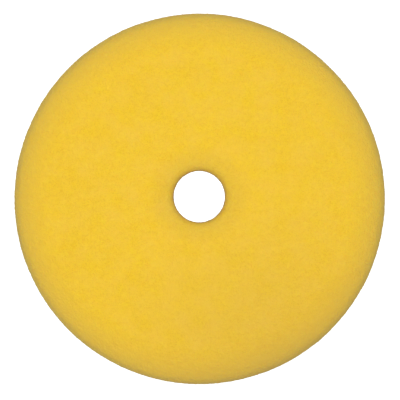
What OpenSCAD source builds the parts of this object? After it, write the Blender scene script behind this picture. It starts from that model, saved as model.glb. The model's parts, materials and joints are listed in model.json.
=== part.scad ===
// Round foam polishing pad with a centre hole and a hook-and-loop backing.
// The pad lies on its loop face. +Z is the pad's axis and points out of the working face.
// The origin is on that axis, in the plane of the loop face. Sizes are in millimetres.

/* [Pad] */
// Widest diameter of the foam
pad_d = 158.8; // [140:0.1:180]
// Thickness of the whole pad, from the loop face to the working face
pad_t = 25; // [24:0.5:32]
// Radius of the soft crown, where the working face starts to fall away
crown_r = 22; // [14:1:30]
// Slope at which the crown runs into the tighter round-over, in degrees
crown_slope = 38; // [10:1:40]
// Radius of the round-over between the crown and the rim
rim_r = 10; // [6:0.5:11]
// Slope of the rim from its widest point in to the loop face, in degrees
rim_taper = 15.6; // [4:0.1:20]

/* [Centre hole] */
// Diameter of the hole punched through every layer
hole_d = 22.2; // [16:0.1:30]
// How far the punch sat from the pad's axis, along X
hole_shift_x = -0.2; // [-1.5:0.1:1.5]
// How far the punch sat from the pad's axis, along Y
hole_shift_y = 1; // [-1.5:0.1:1.5]
// Radius of the softened edge where the hole meets the working face
hole_lip_r = 4; // [1:0.1:5]

/* [Backing] */
// Thickness of the adhesive film that bonds the cloth to the foam
film_t = 0.4; // [0.2:0.1:0.8]
// How far the film shrank back from the rim when it was melted
film_inset = 0.3; // [0:0.1:1]
// Thickness of the knitted base of the loop cloth
base_t = 0.6; // [0.4:0.1:1]
// Height of the raised loops that take the hooks of a backing plate
pile_t = 1.5; // [1:0.1:2.5]

/* [Hidden] */
$fn = 180;
pad_r = pad_d / 2;
hole_r = hole_d / 2;
base_z = pile_t;
film_z = base_z + base_t;
foam_z = film_z + film_t;
// Radius at which the flat of the working face ends and the crown begins
face_r = pad_r - rim_r - (crown_r - rim_r) * sin(crown_slope);
// Centre of the round-over, which lies on the line from the crown's centre to where they meet
arc_x = pad_r - rim_r;
arc_z = pad_t - crown_r + (crown_r - rim_r) * cos(crown_slope);
// Where the round-over runs out into the taper with no corner
taper_x = arc_x + rim_r * cos(rim_taper);
taper_z = arc_z - rim_r * sin(rim_taper);
// How far a cutter runs past the face that it opens
overrun = 1;

// Radius of the tapered rim at height z: the foam and the cloth are trimmed to one cone
function trim_r(z) = taper_x - (taper_z - z) * tan(rim_taper);

// Half of the foam's section, from the axis out to the rim
module foam_section() {
    centre = [arc_x, arc_z];
    // A point past the foam, on the line from both arcs' centres through the place where they meet
    past = centre + (rim_r + overrun) * [sin(crown_slope), cos(crown_slope)];
    above = pad_t + overrun;
    beside = pad_r + overrun;
    polygon([
        [0, foam_z],
        [trim_r(foam_z), foam_z],
        [taper_x, taper_z],
        centre,
        [face_r, arc_z],
        [face_r, pad_t],
        [0, pad_t],
    ]);
    intersection() {
        translate([face_r, pad_t - crown_r])
            circle(r = crown_r);
        polygon([[face_r, arc_z], centre, past, [past.x, above], [face_r, above]]);
    }
    intersection() {
        translate(centre)
            circle(r = rim_r);
        polygon([centre, [taper_x, taper_z], [beside, taper_z], [beside, above], [past.x, above], past]);
    }
}

// The punch that opens the centre hole through every layer
module punch() {
    translate([hole_shift_x, hole_shift_y, -overrun])
        cylinder(r = hole_r, h = pad_t + 2 * overrun);
}

// The foam that is missing above the softened lip of the hole
module lip_cut() {
    translate([hole_shift_x, hole_shift_y, pad_t - hole_lip_r])
        rotate_extrude()
            difference() {
                translate([hole_r - overrun, 0])
                    square(hole_lip_r + overrun);
                translate([hole_r + hole_lip_r, 0])
                    circle(r = hole_lip_r);
            }
}

// One punched layer of the backing, between heights low and high
module backing_layer(low, high, inset = 0) {
    difference() {
        translate([0, 0, low])
            cylinder(r1 = trim_r(low) - inset, r2 = trim_r(high) - inset, h = high - low);
        punch();
    }
}

module foam_disc() {
    color("gold")
        difference() {
            rotate_extrude()
                foam_section();
            punch();
            lip_cut();
        }
}

module bond_film() {
    color("ivory")
        backing_layer(film_z, foam_z, film_inset);
}

module loop_base() {
    color("dimgray")
        backing_layer(base_z, film_z);
}

module loop_pile() {
    color("gray")
        backing_layer(0, base_z);
}

foam_disc();
bond_film();
loop_base();
loop_pile();
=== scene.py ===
"""The looks of a round foam polishing pad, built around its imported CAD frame.

The pad lies on its loop face. A disc of open-cell foam, with a crowned rim and a punched centre hole, is
bonded by a melted adhesive film to a loop cloth, whose raised loops take the hooks of a backing plate.
"""

from __future__ import annotations

import json
import logging
import math
from collections.abc import Callable, Sequence
from dataclasses import dataclass, field
from enum import Enum

import bpy
import numpy as np
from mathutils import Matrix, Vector

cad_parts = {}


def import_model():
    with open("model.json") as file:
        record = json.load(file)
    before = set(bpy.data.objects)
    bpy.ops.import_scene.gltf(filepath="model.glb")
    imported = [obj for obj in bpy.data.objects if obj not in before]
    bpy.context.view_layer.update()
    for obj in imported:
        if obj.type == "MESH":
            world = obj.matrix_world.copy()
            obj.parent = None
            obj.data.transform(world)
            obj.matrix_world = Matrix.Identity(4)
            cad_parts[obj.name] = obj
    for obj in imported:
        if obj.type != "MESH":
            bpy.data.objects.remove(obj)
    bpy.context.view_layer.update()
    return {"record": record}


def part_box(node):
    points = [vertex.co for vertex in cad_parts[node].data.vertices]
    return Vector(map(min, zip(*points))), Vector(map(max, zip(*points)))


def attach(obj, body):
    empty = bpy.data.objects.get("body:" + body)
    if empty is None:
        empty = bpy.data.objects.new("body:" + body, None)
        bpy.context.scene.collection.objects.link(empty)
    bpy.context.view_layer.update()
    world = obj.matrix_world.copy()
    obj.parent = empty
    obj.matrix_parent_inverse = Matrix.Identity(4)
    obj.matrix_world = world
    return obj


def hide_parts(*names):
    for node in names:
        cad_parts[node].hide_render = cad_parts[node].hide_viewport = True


LOG = logging.getLogger("pad")
MM = 0.001
# Places closer than this count as one when vertices are picked
HAIR = 0.01 * MM
# Corners closer than this are taken for one when a mesh is cut
TOUCH = 0.0003 * MM
# Bevel profile of a round corner
ROUND = 0.5
BODY = "root"
Colour = tuple[float, float, float, float]


# ---------------------------------------------------------------------------------------------------------
# The bench: modelling moves that every sub-assembly shares
# ---------------------------------------------------------------------------------------------------------


class Bench:
    """The modelling moves that every sub-assembly shares."""

    @staticmethod
    def clear() -> None:
        """Deselects everything, so that the next operator acts on its own piece only."""
        bpy.ops.object.select_all(action="DESELECT")

    @staticmethod
    def take(piece: bpy.types.Object) -> None:
        """Makes a piece the only selected one, and the active one.

        Args:
            piece: The piece that the next operator acts on.
        """
        Bench.clear()
        piece.select_set(True)
        bpy.context.view_layer.objects.active = piece

    @staticmethod
    def settle(piece: bpy.types.Object) -> None:
        """Puts a piece's place, turn and scale into its mesh, so that its object sits at the origin."""
        Bench.take(piece)
        bpy.ops.object.transform_apply(location=True, rotation=True, scale=True)

    @staticmethod
    def edit(kind: str = "VERT") -> None:
        """Enters edit mode with nothing selected.

        Args:
            kind: What is picked there: VERT, EDGE or FACE.
        """
        bpy.ops.object.mode_set(mode="EDIT")
        bpy.ops.mesh.select_mode(type=kind)
        bpy.ops.mesh.select_all(action="DESELECT")

    @staticmethod
    def places(piece: bpy.types.Object) -> np.ndarray:
        """Gives all the vertices of a piece in object mode.

        Args:
            piece: The piece.

        Returns:
            The place of each vertex, one row each.
        """
        flat = np.empty(3 * len(piece.data.vertices), np.float32)
        piece.data.vertices.foreach_get("co", flat)
        return flat.reshape(-1, 3)

    @staticmethod
    def pick(piece: bpy.types.Object, wanted: Callable[..., np.ndarray]) -> None:
        """Selects the vertices of the piece in edit mode that lie at a wanted place.

        Args:
            piece: The piece that is in edit mode.
            wanted: Takes all the vertices' x, y and z, and says of each whether it is picked.
        """
        bpy.ops.mesh.select_all(action="DESELECT")
        bpy.ops.object.mode_set(mode="OBJECT")
        picked = np.ascontiguousarray(wanted(*Bench.places(piece).T))
        piece.data.vertices.foreach_set("select", picked)
        bpy.ops.object.mode_set(mode="EDIT")

    @staticmethod
    def name_picked(piece: bpy.types.Object, group: str) -> None:
        """Puts the picked vertices of the piece in edit mode in a new vertex group.

        Args:
            piece: The piece that is in edit mode.
            group: The group's name.
        """
        piece.vertex_groups.active = piece.vertex_groups.new(name=group)
        bpy.ops.object.vertex_group_assign()

    @staticmethod
    def close_up(gap: float = 1e-6) -> None:
        """Merges doubled vertices of the whole mesh in edit mode and turns its faces outwards.

        Args:
            gap: How far apart two vertices may be and still be merged.
        """
        bpy.ops.mesh.select_all(action="SELECT")
        bpy.ops.mesh.remove_doubles(threshold=gap)
        bpy.ops.mesh.normals_make_consistent(inside=False)

    @staticmethod
    def apply(piece: bpy.types.Object, kind: str, **settings: object) -> None:
        """Adds a modifier to a piece and applies it at once.

        Args:
            piece: The piece that takes the modifier.
            kind: Blender's name for the kind of modifier.
            **settings: The modifier's own settings.
        """
        Bench.take(piece)
        modifier = piece.modifiers.new(kind.lower(), kind)
        for name, value in settings.items():
            setattr(modifier, name, value)
        bpy.ops.object.modifier_apply(modifier=modifier.name)

    @staticmethod
    def smooth(piece: bpy.types.Object, degrees: float = 60) -> None:
        """Shades a piece smooth, but for edges sharper than an angle.

        Args:
            piece: The piece to shade.
            degrees: The sharpest edge that is still shaded smooth.
        """
        Bench.take(piece)
        bpy.ops.object.shade_smooth_by_angle(angle=math.radians(degrees))

    @staticmethod
    def copies(name: str, model: bpy.types.Object, places: np.ndarray) -> bpy.types.Object:
        """Makes one piece of many copies of a small model, each at its own place, and removes the model.

        Args:
            name: The new piece's name.
            model: The shape that repeats, modelled at the origin.
            places: One 3 by 4 matrix for each copy: its turn and scale, then its place.

        Returns:
            The new piece.
        """
        shape = Bench.places(model)
        corners = [list(face.vertices) for face in model.data.polygons]
        moved = np.einsum("nij,vj->nvi", places[:, :, :3], shape) + places[:, None, :, 3]
        sizes = np.array([len(face) for face in corners])
        loops = np.concatenate(corners)
        count = len(places)
        mesh = bpy.data.meshes.new(name)
        mesh.vertices.add(count * len(shape))
        mesh.vertices.foreach_set("co", np.ascontiguousarray(moved, np.float32).ravel())
        mesh.loops.add(count * len(loops))
        step = len(shape) * np.arange(count)[:, None]
        mesh.loops.foreach_set("vertex_index", (loops[None] + step).ravel().astype(np.int32))
        mesh.polygons.add(count * len(sizes))
        starts = np.concatenate([[0], np.cumsum(np.tile(sizes, count))[:-1]])
        mesh.polygons.foreach_set("loop_start", starts.astype(np.int32))
        mesh.update(calc_edges=True)
        mesh.validate()
        mesh.shade_smooth()
        piece = bpy.data.objects.new(name, mesh)
        bpy.context.collection.objects.link(piece)
        bpy.data.objects.remove(model)
        return piece


# ---------------------------------------------------------------------------------------------------------
# Finishes
# ---------------------------------------------------------------------------------------------------------


class Nodes:
    """A short way to write a node tree."""

    def __init__(self, tree: bpy.types.NodeTree) -> None:
        """Starts on an empty tree."""
        self.tree = tree
        tree.nodes.clear()

    def add(self, kind: str, *values: object, **named: object) -> bpy.types.Node:
        """Adds a node.

        Args:
            kind: The kind of node, without Blender's ShaderNode before it.
            *values: Values or sockets for its first inputs, in order; None leaves one as it is.
            **named: Its own settings, and values or sockets for inputs by name, with _ for a space.

        Returns:
            The new node.
        """
        node = self.tree.nodes.new(kind if kind.startswith("Node") else "ShaderNode" + kind)
        for name, value in named.items():
            if hasattr(node, name):
                setattr(node, name, value)
            else:
                self.feed(node.inputs[name.replace("_", " ")], value)
        usable = [s for s in node.inputs if s.enabled]
        for socket, value in zip(usable, values):
            if value is not None:
                self.feed(socket, value)
        return node

    def feed(self, socket: bpy.types.NodeSocket, value: object) -> None:
        """Links a socket into an input, or sets the input's value.

        Args:
            socket: The input.
            value: An output socket, or a plain value.
        """
        if isinstance(value, bpy.types.NodeSocket):
            self.tree.links.new(value, socket)
        else:
            socket.default_value = value

    def maths(self, operation: str, *values: object) -> bpy.types.NodeSocket:
        """Adds a Math node and gives its output."""
        return self.add("Math", *values, operation=operation).outputs[0]

    def spread(self, value: object, low: float, high: float, to: tuple = (0, 1)) -> bpy.types.NodeSocket:
        """Stretches a range of values onto another, and holds it there past its ends.

        Args:
            value: What is stretched.
            low: The value that becomes the new low end.
            high: The value that becomes the new high end.
            to: The new ends.

        Returns:
            The stretched value.
        """
        return self.add("MapRange", value, low, high, *to).outputs[0]

    def blend(self, share: object, low: object, high: object) -> bpy.types.NodeSocket:
        """Mixes two colours.

        Args:
            share: From 0, all of the first, to 1, all of the second.
            low: The first colour.
            high: The second colour.

        Returns:
            The mixed colour.
        """
        node = self.add("Mix", data_type="RGBA")
        for socket, value in zip((node.inputs[0], node.inputs[6], node.inputs[7]), (share, low, high)):
            self.feed(socket, value)
        return node.outputs[2]


class Effect:
    """A shader node group that several finishes use, with named inputs and outputs."""

    def __init__(self, name: str, inputs: dict[str, float], outputs: dict[str, str]) -> None:
        """Starts the group.

        Args:
            name: What the effect is.
            inputs: The number inputs by name, with their usual values.
            outputs: The outputs by name, with the kind of socket of each.
        """
        self.tree = bpy.data.node_groups.new(name, "ShaderNodeTree")
        self.nodes = Nodes(self.tree)
        self.tree.interface.new_socket("Place", in_out="INPUT", socket_type="NodeSocketVector")
        for label, value in inputs.items():
            socket = self.tree.interface.new_socket(label, in_out="INPUT", socket_type="NodeSocketFloat")
            socket.default_value = value
        for label, kind in outputs.items():
            self.tree.interface.new_socket(label, in_out="OUTPUT", socket_type=kind)
        self.given = self.nodes.add("NodeGroupInput").outputs

    def give(self, **results: bpy.types.NodeSocket) -> bpy.types.NodeTree:
        """Ends the group with its outputs.

        Args:
            **results: A socket for each output, by name with _ for a space.

        Returns:
            The finished group.
        """
        self.nodes.add("NodeGroupOutput", **results)
        return self.tree


def pore_effect() -> bpy.types.NodeTree:
    """Builds open cells: how high the skin stands, and how near a place is to a cell's wall.

    Returns:
        The group. It takes the width of a cell, and how far the cells waver as a share of that.
    """
    # How many times the drift and the grain of the walls repeat in a cell, and how far the grain shows
    drift_rate, grain_rate, grain_share = 0.8, 3.1, 0.35
    # How steeply a pore rises to its wall, from the widest pore to the tightest
    wide, tight = 1.6, 2.6
    group = Effect(
        "open_cells",
        {"Cell": 0.7 * MM, "Waver": 0.35},
        {"Height": "NodeSocketFloat", "Wall": "NodeSocketFloat"},
    )
    n, given = group.nodes, group.given
    per_metre = n.maths("DIVIDE", 1.0, given["Cell"])
    drift_scale = n.maths("MULTIPLY", per_metre, drift_rate)
    drift = n.add("TexNoise", Vector=given["Place"], Scale=drift_scale, Detail=1.0)
    shift = n.add("VectorMath", drift.outputs["Color"], (0.5, 0.5, 0.5), operation="SUBTRACT").outputs[0]
    reach = n.maths("MULTIPLY", given["Waver"], given["Cell"])
    bent = n.add("VectorMath", shift, operation="SCALE", Scale=reach).outputs[0]
    place = n.add("VectorMath", given["Place"], bent, operation="ADD").outputs[0]
    cells = n.add("TexVoronoi", Vector=place, Scale=per_metre, feature="SMOOTH_F1", Smoothness=0.25)
    size = n.add("SeparateColor", n.add("TexVoronoi", Vector=place, Scale=per_metre).outputs["Color"])
    pore = n.maths("MULTIPLY", cells.outputs["Distance"], n.spread(size.outputs[0], 0, 1, (wide, tight)))
    wall = n.spread(pore, 0.25, 1.0)
    grain_scale = n.maths("MULTIPLY", per_metre, grain_rate)
    grain = n.add("TexNoise", Vector=given["Place"], Scale=grain_scale, Detail=2.0)
    height = n.maths("MULTIPLY_ADD", grain.outputs["Fac"], grain_share, wall)
    return group.give(Height=height, Wall=wall)


def mottle_effect() -> bpy.types.NodeTree:
    """Builds the broad, soft unevenness of a dyed or moulded material, from 0 to 1.

    Returns:
        The group. It takes the width of a patch.
    """
    group = Effect("mottle", {"Patch": 12 * MM}, {"Share": "NodeSocketFloat"})
    n, given = group.nodes, group.given
    per_metre = n.maths("DIVIDE", 1.0, given["Patch"])
    cloud = n.add("TexNoise", Vector=given["Place"], Scale=per_metre, Detail=3.0, Roughness=0.55)
    return group.give(Share=n.spread(cloud.outputs["Fac"], 0.3, 0.7))


def knit_effect() -> bpy.types.NodeTree:
    """Builds a fine knit: columns of stitches along Y, each a leaning pair of yarns.

    Returns:
        The group. It takes the width of a column, or wale, and the length of a stitch, or course.
    """
    # How far the yarns lean, how many fibres a metre holds, and how far they show
    slant, fibres_per_metre, fibre_share = 1.6, 9000.0, 0.3
    group = Effect(
        "knit",
        {"Wale": 0.9 * MM, "Course": 0.7 * MM},
        {"Height": "NodeSocketFloat", "Yarn": "NodeSocketFloat"},
    )
    n, given = group.nodes, group.given
    axes = n.add("SeparateXYZ", given["Place"]).outputs
    across = n.maths("DIVIDE", axes[0], given["Wale"])
    along = n.maths("DIVIDE", axes[1], given["Course"])
    column = n.maths("PINGPONG", across, 0.5)
    lean = n.maths("MULTIPLY_ADD", column, slant, along)
    stitch = n.maths("SINE", n.maths("MULTIPLY", lean, math.tau))
    rib = n.maths("SINE", n.maths("MULTIPLY", column, math.tau))
    yarn = n.spread(n.maths("MULTIPLY_ADD", stitch, 0.5, rib), -0.5, 1.5)
    fibre = n.add("TexNoise", Vector=given["Place"], Scale=fibres_per_metre, Detail=2.0)
    height = n.maths("MULTIPLY_ADD", fibre.outputs["Fac"], fibre_share, yarn)
    return group.give(Height=height, Yarn=yarn)


@dataclass(frozen=True)
class Effects:
    """The node groups that the finishes share, built once."""

    pores: bpy.types.NodeTree = field(default_factory=pore_effect)
    mottle: bpy.types.NodeTree = field(default_factory=mottle_effect)
    knit: bpy.types.NodeTree = field(default_factory=knit_effect)


class Finish:
    """What every finish does: it starts a material, and ends it in a shader."""

    title = "finish"

    def begin(self) -> tuple[bpy.types.Material, Nodes, bpy.types.NodeSocket]:
        """Starts the material.

        Returns:
            The material, its nodes, and the places on the piece.
        """
        material = bpy.data.materials.new(self.title)
        material.use_nodes = True
        nodes = Nodes(material.node_tree)
        return material, nodes, nodes.add("TexCoord").outputs["Object"]

    @staticmethod
    def effect(nodes: Nodes, tree: bpy.types.NodeTree, **inputs: object) -> bpy.types.NodeOutputs:
        """Places a shared effect in the material.

        Args:
            nodes: The material's nodes.
            tree: The effect.
            **inputs: Values or sockets for its inputs, by name.

        Returns:
            The effect's outputs.
        """
        node = nodes.tree.nodes.new("ShaderNodeGroup")
        node.node_tree = tree
        for name, value in inputs.items():
            nodes.feed(node.inputs[name], value)
        return node.outputs

    @staticmethod
    def end(nodes: Nodes, **inputs: object) -> bpy.types.Node:
        """Ends the material in a Principled shader.

        Args:
            nodes: The material's nodes.
            **inputs: The shader's inputs, by name with _ for a space.

        Returns:
            The shader.
        """
        shader = nodes.add("BsdfPrincipled", **inputs)
        nodes.add("OutputMaterial", shader.outputs[0])
        return shader


@dataclass(frozen=True)
class FoamFinish(Finish):
    """Matte open-cell foam: bright cell walls, pores darkened by painted shade, pale patches, a rim paled
    by painted sheen, painted shade round the hole and a tan patch at one side of the rim.

    Attributes:
        effects: The shared node groups.
        punch: The hole, round which painted shade darkens the foam.
        cell: Width of a cell.
        wall: Colour of the cell walls.
        pore: Colour down in the pores, painted shade there.
        pale: Colour of broad pale patches, and of the rim, where it is painted sheen.
        tan: Colour of the painted shade round the hole, and of a tan patch at one side of the rim.
        broad_patch: Width of the broad patches, which differ a little in depth of colour.
        broad_share: How far they set the depth of colour.
        clump_patch: Width of the clumps of a few cells.
        clump_share: How far the clumps set the depth of colour.
        pale_patch: Width of the pale patches.
        pale_share: How pale a patch gets at most.
        sheen_from: Radius at which the painted sheen on the rim starts.
        sheen_to: Radius at which the painted sheen on the rim is strongest.
        hole_shade_from: Radius round the hole up to which the painted shade is full.
        hole_shade_to: Radius round the hole at which the painted shade has faded out.
        hole_shade_share: How strong the painted shade round the hole is.
        side: Where the rim is tan.
        side_reach: How far the tan reaches from there.
        side_share: How tan it is at its middle.
    """

    effects: Effects
    punch: Punch
    title = "open_cell_foam"
    cell: float = 0.62 * MM
    wall: Colour = (0.95, 0.635, 0.018, 1)
    pore: Colour = (0.80, 0.477, 0.011, 1)
    pale: Colour = (0.94, 0.605, 0.068, 1)
    tan: Colour = (0.62, 0.405, 0.075, 1)
    broad_patch: float = 14 * MM
    broad_share: float = 0.12
    clump_patch: float = 1.9 * MM
    clump_share: float = 0.3
    pale_patch: float = 8 * MM
    pale_share: float = 0.5
    sheen_from: float = 62 * MM
    sheen_to: float = 79 * MM
    hole_shade_from: float = 14 * MM
    hole_shade_to: float = 22.5 * MM
    hole_shade_share: float = 0.32
    side: tuple[float, float, float] = (30 * MM, -66 * MM, 20 * MM)
    side_reach: float = 70 * MM
    side_share: float = 0.34

    def material(self) -> bpy.types.Material:
        """Builds the finish.

        Returns:
            The material.
        """
        material, n, place = self.begin()
        cells = self.effect(n, self.effects.pores, Place=place, Cell=self.cell)
        broad, patch, clump = (
            self.effect(n, self.effects.mottle, Place=place, Patch=width)["Share"]
            for width in (self.broad_patch, self.pale_patch, self.clump_patch)
        )
        cell_share = 1 - self.broad_share - self.clump_share
        # The pores take the darker colour as painted shade, mixed with uneven tone from the broad patches
        # and the clumps
        depth = n.maths("MULTIPLY", cells["Wall"], cell_share)
        depth = n.maths("MULTIPLY_ADD", broad, self.broad_share, depth)
        depth = n.maths("MULTIPLY_ADD", clump, self.clump_share, depth)
        colour = n.blend(depth, self.pore, self.wall)
        flat_place = n.add("VectorMath", place, (1, 1, 0), operation="MULTIPLY").outputs["Vector"]
        out = n.add("VectorMath", flat_place, operation="LENGTH").outputs["Value"]
        # Pale patches, and painted sheen that pales the rim
        pale = n.maths(
            "MAXIMUM",
            n.maths("MULTIPLY", patch, self.pale_share),
            n.spread(out, self.sheen_from, self.sheen_to),
        )
        colour = n.blend(pale, colour, self.pale)
        axis = (self.punch.x, self.punch.y, 0)
        from_hole = n.add("VectorMath", flat_place, axis, operation="DISTANCE").outputs["Value"]
        from_side = n.add("VectorMath", place, self.side, operation="DISTANCE").outputs["Value"]
        # Painted shade darkens the foam round the hole, and a tan patch lies at one side of the rim
        tan = n.maths(
            "MAXIMUM",
            n.spread(from_hole, self.hole_shade_from, self.hole_shade_to, (self.hole_shade_share, 0)),
            n.spread(from_side, 0, self.side_reach, (self.side_share, 0)),
        )
        colour = n.blend(tan, colour, self.tan)
        bump = n.add("Bump", Height=cells["Height"], Distance=0.12 * MM, Strength=0.6)
        self.end(
            n,
            Base_Color=colour,
            Roughness=0.92,
            Normal=bump.outputs[0],
            Subsurface_Weight=0.5,
            Subsurface_Radius=(1.0, 0.8, 0.3),
            Subsurface_Scale=8 * MM,
            Sheen_Weight=0.12,
            Sheen_Roughness=0.5,
        )
        return material


@dataclass(frozen=True)
class FilmFinish(Finish):
    """Melted adhesive: a pale amber plastic, glossier where it has flowed.

    Attributes:
        effects: The shared node groups.
        patch: Width of a place where it has flowed together.
        thin: Colour where it is thin.
        thick: Colour where it has flowed together.
    """

    effects: Effects
    title = "melted_film"
    patch: float = 2.5 * MM
    thin: Colour = (0.86, 0.72, 0.42, 1)
    thick: Colour = (0.62, 0.42, 0.14, 1)

    def material(self) -> bpy.types.Material:
        """Builds the finish.

        Returns:
            The material.
        """
        material, n, place = self.begin()
        flow = self.effect(n, self.effects.mottle, Place=place, Patch=self.patch)["Share"]
        bump = n.add("Bump", Height=flow, Distance=0.1 * MM, Strength=0.4)
        self.end(
            n,
            Base_Color=n.blend(flow, self.thin, self.thick),
            Roughness=n.spread(flow, 0, 1, (0.5, 0.28)),
            Normal=bump.outputs[0],
            Subsurface_Weight=0.4,
            Subsurface_Radius=(1.0, 0.7, 0.4),
            Subsurface_Scale=0.6 * MM,
        )
        return material


@dataclass(frozen=True)
class ClothFinish(Finish):
    """The knitted base of the loop cloth, matte with a faint sheen.

    Attributes:
        effects: The shared node groups.
        yarn: Colour of the yarns.
        gap: Colour between them.
    """

    effects: Effects
    title = "knitted_base"
    yarn: Colour = (0.040, 0.040, 0.043, 1)
    gap: Colour = (0.012, 0.012, 0.013, 1)

    def material(self) -> bpy.types.Material:
        """Builds the finish.

        Returns:
            The material.
        """
        material, n, place = self.begin()
        knit = self.effect(n, self.effects.knit, Place=place)
        bump = n.add("Bump", Height=knit["Height"], Distance=0.15 * MM, Strength=0.6)
        self.end(
            n,
            Base_Color=n.blend(knit["Yarn"], self.gap, self.yarn),
            Roughness=n.spread(knit["Yarn"], 0, 1, (0.95, 0.75)),
            Normal=bump.outputs[0],
            Sheen_Weight=0.25,
            Sheen_Roughness=0.4,
        )
        return material


@dataclass(frozen=True)
class YarnFinish(Finish):
    """Nylon yarn of the raised loops, a little brighter at some loops than at others.

    Attributes:
        effects: The shared node groups.
        patch: Width of a patch of brighter loops.
        strands: Filaments of the yarn in a metre.
        dark: Colour of the darkest loops.
        light: Colour of the brightest loops.
    """

    effects: Effects
    title = "loop_yarn"
    patch: float = 1.6 * MM
    strands: float = 14000.0
    dark: Colour = (0.035, 0.035, 0.038, 1)
    light: Colour = (0.090, 0.090, 0.096, 1)

    def material(self) -> bpy.types.Material:
        """Builds the finish.

        Returns:
            The material.
        """
        material, n, place = self.begin()
        shade = self.effect(n, self.effects.mottle, Place=place, Patch=self.patch)["Share"]
        strand = n.add("TexNoise", Vector=place, Scale=self.strands, Detail=1.0).outputs["Fac"]
        bump = n.add("Bump", Height=strand, Distance=0.03 * MM, Strength=0.4)
        self.end(
            n,
            Base_Color=n.blend(shade, self.dark, self.light),
            Roughness=n.spread(strand, 0.3, 0.7, (0.42, 0.6)),
            Normal=bump.outputs[0],
            Sheen_Weight=0.2,
            Sheen_Roughness=0.3,
        )
        return material


# ---------------------------------------------------------------------------------------------------------
# The pad's layers
# ---------------------------------------------------------------------------------------------------------


def dress(
    piece: bpy.types.Object, finish: bpy.types.Material, node: str | None = None
) -> bpy.types.Object:
    """Gives a piece its finish and its place in the frame.

    Args:
        piece: The finished piece.
        finish: Its material.
        node: The CAD node that it stands for, if it does.

    Returns:
        The piece.
    """
    piece.data.materials.clear()
    piece.data.materials.append(finish)
    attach(piece, BODY)
    if node:
        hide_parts(node)
    return piece


class Pattern(Enum):
    """The solid patterns that shape a skin."""

    CLOUDS = "CLOUDS"
    CELLS = "VORONOI"


@dataclass(frozen=True)
class Relief:
    """One layer of relief on a skin.

    Attributes:
        name: What it is.
        kind: The pattern it follows.
        size: Width of one repeat.
        height: How far it moves the skin in all.
        level: The share of the pattern that stays where it was.
        group: The vertex group that it moves, or all of the skin.
    """

    name: str
    kind: Pattern
    size: float
    height: float
    level: float = 0.5
    group: str = ""

    def press(self, piece: bpy.types.Object) -> None:
        """Moves a piece's skin along its normals by the pattern.

        Args:
            piece: The piece.
        """
        pattern = bpy.data.textures.new(self.name, self.kind.value)
        pattern.noise_scale = self.size
        Bench.apply(
            piece,
            "DISPLACE",
            texture=pattern,
            texture_coords="LOCAL",
            strength=self.height,
            mid_level=self.level,
            vertex_group=self.group,
        )


@dataclass(frozen=True)
class Punch:
    """The round hole through every layer, as the frame's mount gives it.

    Attributes:
        x: Where the hole's axis stands along X.
        y: Where the hole's axis stands along Y.
        radius: The hole's radius.
    """

    x: float
    y: float
    radius: float

    @classmethod
    def from_record(cls, record: dict) -> Punch:
        """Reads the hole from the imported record.

        Args:
            record: The record that the frame gives.

        Returns:
            The hole.
        """
        mount = next(m for m in record["mounts"] if m["name"] == "centre_hole")
        x, y, _ = mount["pos_m"]
        return cls(x, y, mount["dims"]["r_mm"] * MM)


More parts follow.
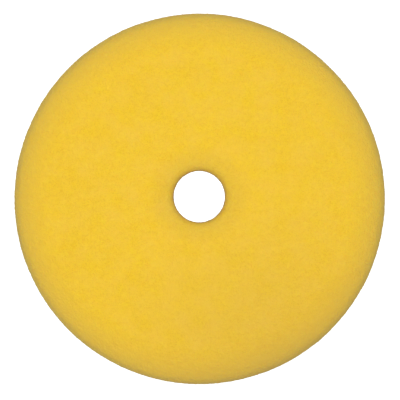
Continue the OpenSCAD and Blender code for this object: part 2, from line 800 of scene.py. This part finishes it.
@dataclass
class TurnedLayer:
    """A layer of the pad: a section turned about the pad's axis, with its hole moved to the punch.

    Attributes:
        node: The CAD node that the layer stands for.
        punch: The hole through it.
        wide_low: The layer's outer radius at its lower face.
        wide_high: The layer's outer radius at its upper face, before any corner is rounded.
        low: Height of its lower face.
        high: Height of its upper face.
        turns: Steps that the section is turned through.
        shift_margin: How much of the layer round the hole moves with it to the punch.
        rings: Rings of faces between the hole and the rim.
        rows: Rows of faces up the hole's wall and up the rim.
        relief: The layers of relief on its skin.
    """

    node: str
    punch: Punch
    wide_low: float
    wide_high: float
    low: float
    high: float
    turns: int = 360
    shift_margin: float = 0.5 * MM
    rings: int = 1
    rows: int = 1
    relief: Sequence[Relief] = ()

    @property
    def piece_name(self) -> str:
        """The name of the piece that the layer becomes."""
        return self.node + "_body"

    @property
    def thickness(self) -> float:
        """How thick the layer is."""
        return self.high - self.low

    def draw_section(self) -> bpy.types.Object:
        """Stands up half of the layer's section in the XZ plane, as one face, and stays in edit mode.

        Returns:
            The section.
        """
        inner = self.punch.radius
        halfway, middle = (inner + self.wide_low) / 2, (self.low + self.high) / 2
        Bench.clear()
        bpy.ops.mesh.primitive_plane_add(
            size=1,
            location=(halfway, 0, middle),
            rotation=(math.pi / 2, 0, 0),
        )
        section = bpy.context.object
        section.name = self.piece_name
        section.scale = (self.wide_low - inner, self.thickness, 1)
        Bench.settle(section)
        Bench.edit()
        Bench.pick(section, lambda x, y, z: (x > halfway) & (z > middle))
        bpy.ops.transform.translate(value=(self.wide_high - self.wide_low, 0, 0))
        return section

    def soften(self, share: float, steps: int) -> None:
        """Rounds the picked corners of the section.

        Args:
            share: How far each corner's round reaches, as a share of the layer's thickness.
            steps: Pieces in each round.
        """
        bpy.ops.mesh.bevel(affect="VERTICES", offset=self.thickness * share, segments=steps, profile=ROUND)

    def turn(self, section: bpy.types.Object, lip: float = 0.0) -> bpy.types.Object:
        """Turns the section's outline about the pad's axis, and moves the hole to the punch.

        Args:
            section: The section, in edit mode.
            lip: How far past the hole's wall its softened edge reaches.

        Returns:
            The turned layer, in object mode.
        """
        bpy.ops.mesh.select_all(action="SELECT")
        bpy.ops.mesh.delete(type="ONLY_FACE")
        for ring in range(1, self.rings):
            along = self.punch.radius + (self.wide_low - self.punch.radius) * ring / self.rings
            bpy.ops.mesh.select_all(action="SELECT")
            bpy.ops.mesh.bisect(plane_co=(along, 0, 0), plane_no=(1, 0, 0))
        for row in range(1, self.rows):
            up = self.low + self.thickness * row / self.rows
            bpy.ops.mesh.select_all(action="SELECT")
            bpy.ops.mesh.bisect(plane_co=(0, 0, up), plane_no=(0, 0, 1), threshold=TOUCH)
        bpy.ops.mesh.select_all(action="SELECT")
        bpy.ops.mesh.spin(steps=self.turns, angle=math.tau, center=(0, 0, 0), axis=(0, 0, 1))
        Bench.close_up()
        reach = self.punch.radius + lip + self.shift_margin
        Bench.pick(section, lambda x, y, z: np.hypot(x, y) < reach)
        bpy.ops.transform.translate(value=(self.punch.x, self.punch.y, 0))
        bpy.ops.object.mode_set(mode="OBJECT")
        return section

    def roughen(self, piece: bpy.types.Object, edge: str, wanted: Callable[..., np.ndarray]) -> None:
        """Presses the layer's relief into an edge, and shades the piece.

        Args:
            piece: The turned layer.
            edge: The vertex group that the relief moves.
            wanted: Takes all the vertices' x, y and z, and says of each whether it is at the edge.
        """
        Bench.take(piece)
        Bench.edit()
        Bench.pick(piece, wanted)
        Bench.name_picked(piece, edge)
        bpy.ops.object.mode_set(mode="OBJECT")
        for layer in self.relief:
            layer.press(piece)
        Bench.smooth(piece)


@dataclass
class FoamDisc(TurnedLayer):
    """The foam: a flat working face, a crowned rim that tapers to the backing, and the punched hole.

    Attributes:
        radius: Its widest radius.
        crown: Radius of the soft crown at the edge of the working face.
        crown_slope: Slope at which the crown runs into the tighter round-over.
        crown_steps: Pieces in the crown's arc.
        roundover: Radius between the crown and the rim.
        roundover_steps: Pieces in the round-over's arc.
        lip: Radius of the softened edge of the hole.
        lip_steps: Pieces in the lip's arc.
        cell: Edge length of the even mesh that takes the pores.
    """

    radius: float = 0.0
    crown: float = 22 * MM
    crown_slope: float = math.radians(38)
    crown_steps: int = 14
    roundover: float = 10 * MM
    roundover_steps: int = 16
    lip: float = 4 * MM
    lip_steps: int = 10
    cell: float = 0.3 * MM
    relief: Sequence[Relief] = (
        Relief("slump", Pattern.CLOUDS, 26 * MM, 0.3 * MM),
        Relief("clumps", Pattern.CLOUDS, 2.2 * MM, 0.26 * MM),
        Relief("pores", Pattern.CELLS, 0.8 * MM, 0.27 * MM, 0.6),
    )

    @staticmethod
    def round_corner(radius: float, turn: float, segments: int) -> None:
        """Rounds the picked corner of a flat outline to an arc.

        Args:
            radius: The arc's radius.
            turn: How far the outline turns at the corner, in radians.
            segments: Pieces in the arc.
        """
        half = (math.pi - turn) / 2
        # The profile below makes the bevel's curve touch the arc halfway round
        depth = 1 / (2 * (1 + math.sin(half)))
        bpy.ops.mesh.bevel(
            affect="VERTICES",
            offset=radius / math.tan(half),
            segments=segments,
            profile=(1 - depth) ** 2,
            clamp_overlap=False,
        )

    def build(self) -> bpy.types.Object:
        """Draws the section, turns it, gives it an even skin and opens its cells.

        Returns:
            The foam.
        """
        foam = self.draw_section()
        lean = math.atan2(self.wide_high - self.wide_low, self.thickness)
        out, up = math.sin(self.crown_slope), math.cos(self.crown_slope)
        face_edge = self.radius - self.roundover - (self.crown - self.roundover) * out
        bpy.ops.mesh.select_all(action="SELECT")
        bpy.ops.mesh.bisect(
            plane_co=(face_edge + self.crown * out, 0, self.high - self.crown * (1 - up)),
            plane_no=(out, 0, up),
            clear_outer=True,
        )
        top = self.high - HAIR
        near_rim = self.radius - self.roundover / 2
        Bench.pick(foam, lambda x, y, z: (x > near_rim) & (z > self.low + self.roundover / 2))
        self.round_corner(self.roundover, math.pi / 2 + lean - self.crown_slope, self.roundover_steps)
        Bench.pick(foam, lambda x, y, z: (x < near_rim) & (x > face_edge) & (z > top))
        self.round_corner(self.crown, self.crown_slope, self.crown_steps)
        Bench.pick(foam, lambda x, y, z: (x < self.punch.radius + HAIR) & (z > top))
        self.round_corner(self.lip, math.pi / 2, self.lip_steps)
        self.turn(foam, self.lip)
        Bench.apply(foam, "REMESH", mode="VOXEL", voxel_size=self.cell, use_smooth_shade=True)
        self.face_back(foam)
        for layer in self.relief:
            layer.press(foam)
        return foam

    def face_back(self, foam: bpy.types.Object) -> None:
        """Makes the glued face one plain flat face with the hole in it, because nothing of its skin shows.

        Args:
            foam: The foam, with an even skin.
        """
        Bench.take(foam)
        Bench.edit("FACE")
        bpy.ops.mesh.select_all(action="SELECT")
        bpy.ops.mesh.bisect(
            plane_co=(0, 0, self.low + self.cell / 2),
            plane_no=(0, 0, 1),
            use_fill=True,
            clear_inner=True,
            threshold=TOUCH,
        )
        bpy.ops.mesh.select_all(action="DESELECT")
        bpy.ops.object.mode_set(mode="OBJECT")
        plug, slack = math.pi * self.punch.radius**2, 0.2
        back = self.low + self.cell
        for face in foam.data.polygons:
            face.select = face.center.z < back and abs(face.area / plug - 1) < slack
        bpy.ops.object.mode_set(mode="EDIT")
        bpy.ops.mesh.delete(type="ONLY_FACE")
        bpy.ops.object.mode_set(mode="OBJECT")

    def finished(self, effects: Effects) -> bpy.types.Object:
        """Args:
            effects: The shared node groups.

        Returns:
            The piece.
        """
        finish = FoamFinish(effects, self.punch).material()
        foam = dress(self.build(), finish, self.node)
        return foam


@dataclass
class BondFilm(TurnedLayer):
    """The adhesive film, melted between foam and cloth, with a rim that beaded as it set.

    Attributes:
        bead: How far the rim's round reaches, as a share of the film's thickness.
        bead_steps: Pieces in the rim's round.
        band: Width of the rim that is uneven.
    """

    turns: int = 900
    rings: int = 6
    relief: Sequence[Relief] = (
        Relief("bead", Pattern.CLOUDS, 7 * MM, 0.5 * MM, 0.45, "rim"),
        Relief("drips", Pattern.CLOUDS, 1.8 * MM, 0.25 * MM, 0.5, "rim"),
    )
    bead: float = 0.45
    bead_steps: int = 3
    band: float = 1 * MM

    def build(self) -> bpy.types.Object:
        """Turns the film, rounds its rim to a bead and makes the bead uneven.

        Returns:
            The film.
        """
        film = self.draw_section()
        Bench.pick(film, lambda x, y, z: x > self.punch.radius + self.band)
        self.soften(self.bead, self.bead_steps)
        self.turn(film)
        self.roughen(film, "rim", lambda x, y, z: np.hypot(x, y) > self.wide_low - self.band)
        return film

    def finished(self, effects: Effects) -> bpy.types.Object:
        """Builds and dresses the film.

        Args:
            effects: The shared node groups.

        Returns:
            The piece.
        """
        return dress(self.build(), FilmFinish(effects).material(), self.node)


@dataclass
class LoopCloth(TurnedLayer):
    """The knitted base of the loop cloth, trimmed with the foam, so that its edge is uneven.

    Attributes:
        corner: How far each corner's round reaches, as a share of the cloth's thickness.
        corner_steps: Pieces in each corner's round.
        band: Width of the cut edges that are uneven.
    """

    turns: int = 1200
    rings: int = 12
    rows: int = 4
    relief: Sequence[Relief] = (
        Relief("cut_waver", Pattern.CLOUDS, 3 * MM, 0.22 * MM, 0.5, "cut"),
        Relief("cut_yarns", Pattern.CELLS, 0.55 * MM, 0.3 * MM, 0.6, "cut"),
    )
    corner: float = 0.25
    corner_steps: int = 2
    band: float = 0.3 * MM

    @property
    def flat_width(self) -> float:
        """The width that the cloth was cut to."""
        return 2 * self.wide_high

    @property
    def flat_area(self) -> float:
        """The flat area that the cloth was cut to, less the hole."""
        return math.pi * (self.wide_high**2 - self.punch.radius**2)

    def build(self) -> bpy.types.Object:
        """Turns the cloth and roughens its cut edges.

        Returns:
            The cloth.
        """
        cloth = self.draw_section()
        bpy.ops.mesh.select_all(action="SELECT")
        self.soften(self.corner, self.corner_steps)
        self.turn(cloth)
        hole, rim = self.punch.radius + self.band, self.wide_low - self.band

        def at_edge(x: np.ndarray, y: np.ndarray, z: np.ndarray) -> np.ndarray:
            """Says of each vertex whether it is at one of the two cut edges."""
            near_hole = np.hypot(x - self.punch.x, y - self.punch.y) < hole
            return near_hole | (np.hypot(x, y) > rim)

        self.roughen(cloth, "cut", at_edge)
        return cloth

    def finished(self, effects: Effects) -> bpy.types.Object:
        """Builds and dresses the cloth.

        Args:
            effects: The shared node groups.

        Returns:
            The piece.
        """
        return dress(self.build(), ClothFinish(effects).material(), self.node)


@dataclass
class LoopPile:
    """The raised loops under the cloth, in staggered rows, unsettled by wear.

    Attributes:
        punch: The hole through the pad.
        radius: Radius of the cloth's lower edge.
        top: Height of the cloth's lower face, which they grow from.
        pitch: Distance from one loop to the next.
        arch: Radius of the arch that a loop ends in.
        stretch: How much taller than round the arch is.
        yarn: Radius of a loop's yarn.
        root: How far a loop's feet go into the cloth.
        feet: How close together its feet are, as a share of the arch's width.
        unsettled: How far a loop stands from its place in the row, as a share of the pitch.
        swing: Spread of the ways that the loops face, in radians.
        lean: Spread of how far they lean over, as a share of their height.
        widths: The narrowest and the widest loop, as shares of the model's width.
        heights: The lowest and the tallest loop, as shares of the model's height.
        rim_margin: How far from the rim the nearest loops stand.
        hole_margin: How far from the hole the nearest loops stand.
        sectors: Pieces that the pile is split into, each a wedge of the disc.
        seed: What the random draws start from.
    """

    punch: Punch
    radius: float
    top: float
    pitch: float = 1.22 * MM
    arch: float = 0.4 * MM
    stretch: float = 1.3
    yarn: float = 0.14 * MM
    root: float = 0.12 * MM
    feet: float = 0.5
    unsettled: float = 0.25
    swing: float = 0.8
    lean: float = 0.26
    widths: tuple[float, float] = (0.8, 1.25)
    heights: tuple[float, float] = (0.72, 1.0)
    rim_margin: float = 0.4 * MM
    hole_margin: float = 0.75 * MM
    sectors: int = 6
    seed: int = 7

    @property
    def leg(self) -> float:
        """Length of a loop's legs, which brings its arch down to the plane that the pad rests on."""
        return self.top + self.root - (self.arch + self.yarn) * self.stretch

    def model_loop(self) -> bpy.types.Object:
        """Models one loop: an arch of yarn below the origin and two legs that close in above it.

        Returns:
            The loop.
        """
        Bench.clear()
        bpy.ops.mesh.primitive_torus_add(
            major_radius=self.arch,
            minor_radius=self.yarn,
            major_segments=12,
            minor_segments=3,
            rotation=(math.pi / 2, 0, 0),
        )
        loop = bpy.context.object
        loop.name = "one_loop"
        Bench.settle(loop)
        Bench.edit()
        bpy.ops.mesh.select_all(action="SELECT")
        bpy.ops.mesh.bisect(plane_co=(0, 0, 0), plane_no=(0, 0, 1), clear_outer=True)
        bpy.ops.mesh.select_all(action="SELECT")
        bpy.ops.transform.resize(value=(1, 1, self.stretch), center_override=(0, 0, 0))
        Bench.pick(loop, lambda x, y, z: z > -HAIR)
        bpy.ops.mesh.extrude_region_move(TRANSFORM_OT_translate={"value": (0, 0, self.leg)})
        bpy.ops.transform.resize(value=(self.feet, 1, 1), center_override=(0, 0, self.leg))
        bpy.ops.mesh.select_all(action="SELECT")
        bpy.ops.mesh.normals_make_consistent(inside=False)
        bpy.ops.object.mode_set(mode="OBJECT")
        return loop

    def spots(self) -> np.ndarray:
        """Sets out the loops: staggered rows, a little unsettled, inside the cloth's edges.

        Returns:
            Where each loop stands, in X and Y.
        """
        draw = np.random.default_rng(self.seed)
        row_gap = self.pitch * math.sin(math.pi / 3)
        columns = int(self.radius / self.pitch) + 1
        rows = int(self.radius / row_gap) + 1
        column, row = np.meshgrid(np.arange(-columns, columns + 1), np.arange(-rows, rows + 1))
        x = (column + 0.5 * (row % 2)) * self.pitch
        y = row * row_gap
        spots = np.stack([x.ravel(), y.ravel()], axis=1)
        # Wear has moved each loop off its stitch
        spots += draw.uniform(-self.unsettled, self.unsettled, spots.shape) * self.pitch
        from_axis = np.hypot(*spots.T)
        from_hole = np.hypot(spots[:, 0] - self.punch.x, spots[:, 1] - self.punch.y)
        inside = from_axis < self.radius - self.rim_margin
        return spots[inside & (from_hole > self.punch.radius + self.hole_margin)]

    def build(self) -> list[bpy.types.Object]:
        """Fills the cloth with loops.

        Returns:
            One piece for each sector.
        """
        spots = self.spots()
        draw = np.random.default_rng(self.seed + 1)
        sector = ((np.arctan2(spots[:, 1], spots[:, 0]) / math.tau) % 1 * self.sectors).astype(int)
        pieces = []
        for index in range(self.sectors):
            here = spots[sector == index]
            turn = draw.normal(0, self.swing, len(here))
            wide = draw.uniform(*self.widths, len(here))
            tall = draw.uniform(*self.heights, len(here))
            places = np.zeros((len(here), 3, 4))
            # A loop is widened, turned to face its own way, leaned over and made shorter
            places[:, 0, 0] = wide * np.cos(turn)
            places[:, 1, 0] = wide * np.sin(turn)
            places[:, 0, 1] = -np.sin(turn)
            places[:, 1, 1] = np.cos(turn)
            places[:, :2, 2] = draw.normal(0, self.lean, (len(here), 2))
            places[:, 2, 2] = tall
            # However tall it is, its feet end in the cloth
            places[:, :2, 3] = here
            places[:, 2, 3] = self.top + self.root - self.leg * tall
            pieces.append(Bench.copies(f"loops_{index + 1}", self.model_loop(), places))
        return pieces

    def finished(self, yarn: bpy.types.Material) -> list[bpy.types.Object]:
        """Builds and dresses the loops.

        Args:
            yarn: The finish of the yarn.

        Returns:
            The pieces.
        """
        return [dress(piece, yarn, "loop_pile") for piece in self.build()]


@dataclass
class CutFibres:
    """Broken ends of yarn that stand out of the cloth's cut edges.

    Attributes:
        punch: The hole through the pad.
        radius: Radius of the cloth's outer edge.
        low: The lowest height that they start from.
        high: The highest height that they start from.
        count: How many stand round the rim.
        hole_count: How many stand round the hole.
        thickness: Radius of a fibre at its root.
        lengths: The shortest and the longest fibre, as shares of the model's length.
        punched: How long a fibre is round the hole, where the punch cut it, as a share of one at the rim.
        swing: Spread of the ways that the fibres head, in radians.
        rise: Spread of how far they rise or hang, in radians.
        seed: What the random draws start from.
    """

    punch: Punch
    radius: float
    low: float
    high: float
    count: int = 1500
    hole_count: int = 120
    thickness: float = 0.035 * MM
    lengths: tuple[float, float] = (0.25, 0.9)
    punched: float = 0.3
    swing: float = 0.7
    rise: float = 0.35
    seed: int = 21

    def model_fibre(self) -> bpy.types.Object:
        """Models one fibre: a thin rod along X that tapers and droops towards its end.

        Returns:
            The fibre, a millimetre long.
        """
        cuts, droops = (0.25, 0.5, 0.75), ((0.5, 0.05), (0.75, 0.14), (1.0, 0.3))
        Bench.clear()
        bpy.ops.mesh.primitive_cylinder_add(
            vertices=3,
            radius=self.thickness,
            depth=MM,
            rotation=(0, math.pi / 2, 0),
            location=(MM / 2, 0, 0),
        )
        fibre = bpy.context.object
        fibre.name = "one_fibre"
        Bench.settle(fibre)
        Bench.edit()
        for share in cuts:
            bpy.ops.mesh.select_all(action="SELECT")
            bpy.ops.mesh.bisect(plane_co=(share * MM, 0, 0), plane_no=(1, 0, 0))
        for share, drop in droops:
            Bench.pick(fibre, lambda x, y, z, at=share * MM: abs(x - at) < HAIR)
            bpy.ops.transform.translate(value=(0, 0, -drop * MM))
            left = 1.1 - 0.5 * share
            bpy.ops.transform.resize(value=(1, left, left))
        bpy.ops.object.mode_set(mode="OBJECT")
        return fibre

    def ring(self, outer: bool, draw: np.random.Generator) -> np.ndarray:
        """Sets the fibres of one edge.

        Args:
            outer: Whether the edge is the rim, and not the hole.
            draw: The random draws.

        Returns:
            One 3 by 4 matrix for each fibre: its turn and scale, then its place.
        """
        count = self.count if outer else self.hole_count
        around = draw.uniform(0, math.tau, count)
        heading = around + (0 if outer else math.pi) + draw.normal(0, self.swing, count)
        rise = draw.normal(0, self.rise, count)
        reach = self.radius if outer else self.punch.radius
        long = draw.uniform(*self.lengths, count) * (1 if outer else self.punched)
        cos_h, sin_h = np.cos(heading), np.sin(heading)
        cos_r, sin_r = np.cos(rise), np.sin(rise)
        places = np.zeros((count, 3, 4))
        # The first three columns are a fibre's own axes: along it, across it and up from it
        places[:, :, 0] = np.stack([cos_h * cos_r, sin_h * cos_r, sin_r], axis=1) * long[:, None]
        places[:, :, 1] = np.stack([-sin_h, cos_h, np.zeros(count)], axis=1)
        places[:, :, 2] = np.stack([-cos_h * sin_r, -sin_h * sin_r, cos_r], axis=1)
        places[:, 0, 3] = reach * np.cos(around) + (0 if outer else self.punch.x)
        places[:, 1, 3] = reach * np.sin(around) + (0 if outer else self.punch.y)
        places[:, 2, 3] = draw.uniform(self.low, self.high, count)
        return places

    def build(self) -> bpy.types.Object:
        """Sets the fibres round the rim and the hole.

        Returns:
            All the fibres, as one piece.
        """
        draw = np.random.default_rng(self.seed)
        places = np.concatenate([self.ring(True, draw), self.ring(False, draw)])
        return Bench.copies("cut_fibres", self.model_fibre(), places)

    def finished(self, yarn: bpy.types.Material) -> bpy.types.Object:
        """Builds and dresses the fibres.

        Args:
            yarn: The finish of the yarn.

        Returns:
            The piece.
        """
        return dress(self.build(), yarn)


# ---------------------------------------------------------------------------------------------------------
# The pad
# ---------------------------------------------------------------------------------------------------------


@dataclass
class PolishingPad:
    """The whole pad: its layers, built on the frame's sizes and dressed in their finishes.

    Attributes:
        punch: The hole through it.
        taper: How far its rim leans in towards the backing, in radians.
        film_inset: How far the film stops short of the trimmed rim.
        fibre_drop: How far below the knitted base the broken fibres start.
        effects: The node groups that the finishes share.
    """

    punch: Punch
    taper: float = math.radians(15.6)
    film_inset: float = 0.3 * MM
    fibre_drop: float = 0.2 * MM
    effects: Effects = field(default_factory=Effects)

    def rim_at(self, z: float) -> float:
        """Works out the radius of the tapered rim at a height, carried on past the round-over.

        Args:
            z: The height.

        Returns:
            The radius.
        """
        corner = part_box("loop_pile")[1]
        return corner.x + (z - corner.z) * math.tan(self.taper)

    def layer(self, kind: type[TurnedLayer], node: str, inset: float = 0.0, **sizes: object) -> TurnedLayer:
        """Sets up a layer at the heights of its CAD node.

        Args:
            kind: The layer's class.
            node: The CAD node that it stands for.
            inset: How far it stops short of the trimmed rim.
            **sizes: The layer's own sizes.

        Returns:
            The layer.
        """
        low, high = (corner.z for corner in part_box(node))
        return kind(
            node,
            self.punch,
            self.rim_at(low) - inset,
            self.rim_at(high) - inset,
            low,
            high,
            **sizes,
        )

    def build(self) -> list[bpy.types.Object]:
        """Builds every layer, from the working face down to the loops.

        Returns:
            The pieces.
        """
        disc = self.layer(FoamDisc, "foam_disc", radius=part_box("foam_disc")[1].x)
        foam = disc.finished(self.effects)
        film = self.layer(BondFilm, "bond_film", inset=self.film_inset)
        bond = film.finished(self.effects)
        base = self.layer(LoopCloth, "loop_base")
        cloth = base.finished(self.effects)
        yarn = YarnFinish(self.effects).material()
        loops = LoopPile(self.punch, self.rim_at(0), base.low).finished(yarn)
        fibres = CutFibres(self.punch, base.wide_low, base.low - self.fibre_drop, base.high).finished(yarn)
        return [foam, bond, cloth, *loops, fibres]


# ---------------------------------------------------------------------------------------------------------
# The studio
# ---------------------------------------------------------------------------------------------------------


@dataclass
class Studio:
    """A plain pale floor, soft light from above and a camera straight over the pad.

    Attributes:
        pad_radius: The pad's widest radius, just past which the painted shade on the floor ends.
        foot_radius: Radius of the pad's foot on the floor.
        hole_radius: Radius of the pad's hole, in which the floor glows brighter with painted light.
        floor_width: Width of the floor.
        floor_gap: How far the floor is below the pad, so that the two never share a plane.
        camera_place: Where the camera hangs, facing down.
        lens: Its focal length, in millimetres.
        ambient: Light from all round.
        key_place: Where the lamp hangs.
        key_size: Diameter of the lamp.
        key_power: Power of the lamp, in watts.
    """

    pad_radius: float
    foot_radius: float
    hole_radius: float
    floor_width: float = 3.0
    floor_gap: float = 0.1 * MM
    camera_place: tuple[float, float, float] = (0.13 * MM, -0.46 * MM, 1.013)
    lens: float = 210.0
    ambient: float = 0.397
    key_place: tuple[float, float, float] = (-0.010, 0.020, 0.44)
    key_size: float = 0.3
    key_power: float = 1.18

    def camera(self) -> None:
        """Sets the camera straight over the pad, with +Y up in its picture."""
        data = bpy.data.cameras.new("camera")
        data.sensor_width = 36
        data.lens = self.lens
        data.clip_end = 20
        camera = bpy.data.objects.new("camera", data)
        camera.location = self.camera_place
        bpy.context.collection.objects.link(camera)
        bpy.context.scene.camera = camera

    def floor(self) -> None:
        """Lays the floor: it glows white for the camera, with painted shade where the pad stands over it
        and painted light in the hole.
        """
        # The painted shade ends just past the rim, and the painted light in the hole fades out under the
        # pad
        rim, hole = self.pad_radius + 0.8 * MM, self.hole_radius + 1.5 * MM
        fade = 6.5 * MM
        Bench.clear()
        bpy.ops.mesh.primitive_plane_add(size=self.floor_width, location=(0, 0, -self.floor_gap))
        floor = bpy.context.object
        floor.name = "floor"
        Bench.settle(floor)
        material = bpy.data.materials.new("floor_painted_glow_and_shade")
        material.use_nodes = True
        n = Nodes(material.node_tree)
        place = n.add("TexCoord").outputs["Object"]
        out = n.add("VectorMath", place, operation="LENGTH").outputs["Value"]
        # Painted shade: the floor's glow drops under the pad's rim
        glow_with_painted_shade = n.spread(out, self.foot_radius, rim, (0.1, 1.0))
        # Painted light: the floor glows brighter in the hole
        painted_hole_light = n.spread(out, hole, hole + fade, (1.2, 0.0))
        glow = n.maths("MAXIMUM", glow_with_painted_shade, painted_hole_light)
        seen = n.add("LightPath").outputs["Is Camera Ray"]
        shader = n.add(
            "BsdfPrincipled",
            Base_Color=(0.5, 0.5, 0.5, 1),
            Roughness=1.0,
            Specular_IOR_Level=0.0,
            Emission_Color=(1, 1, 1, 1),
            Emission_Strength=n.maths("MULTIPLY", glow, seen),
        )
        n.add("OutputMaterial", shader.outputs[0])
        floor.data.materials.append(material)

    def light(self) -> None:
        """Lights the pad from above, softly, with a little light from all round."""
        world = bpy.data.worlds.new("studio")
        bpy.context.scene.world = world
        world.use_nodes = True
        n = Nodes(world.node_tree)
        seen = n.add("LightPath").outputs["Is Camera Ray"]
        backdrop = n.add("Background", (1, 1, 1, 1), n.spread(seen, 0, 1, (self.ambient, 1.0)))
        n.add("OutputWorld", backdrop.outputs[0])
        self.lamp("key")

    def lamp(self, name: str) -> None:
        """Hangs a round soft lamp that faces the pad.

        Args:
            name: The lamp's name.
        """
        data = bpy.data.lights.new(name, "AREA")
        data.shape = "DISK"
        data.size = self.key_size
        data.energy = self.key_power
        lamp = bpy.data.objects.new(name, data)
        lamp.location = self.key_place
        lamp.rotation_euler = Vector(self.key_place).to_track_quat("Z", "Y").to_euler()
        lamp.visible_camera = False
        bpy.context.collection.objects.link(lamp)

    def build(self) -> None:
        """Sets up the camera, the floor and the light."""
        self.camera()
        self.floor()
        self.light()
        bpy.context.scene.view_settings.view_transform = "Standard"


def main() -> None:
    """Builds the pad on its frame, logs how many faces each piece has, then builds its studio."""
    logging.basicConfig(level=logging.INFO)
    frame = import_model()
    pad = PolishingPad(Punch.from_record(frame["record"]))
    for piece in pad.build():
        LOG.info("%s: %d faces", piece.name, len(piece.data.polygons))
    Studio(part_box("foam_disc")[1].x, pad.rim_at(0), pad.punch.radius).build()


if __name__ == "__main__":
    main()
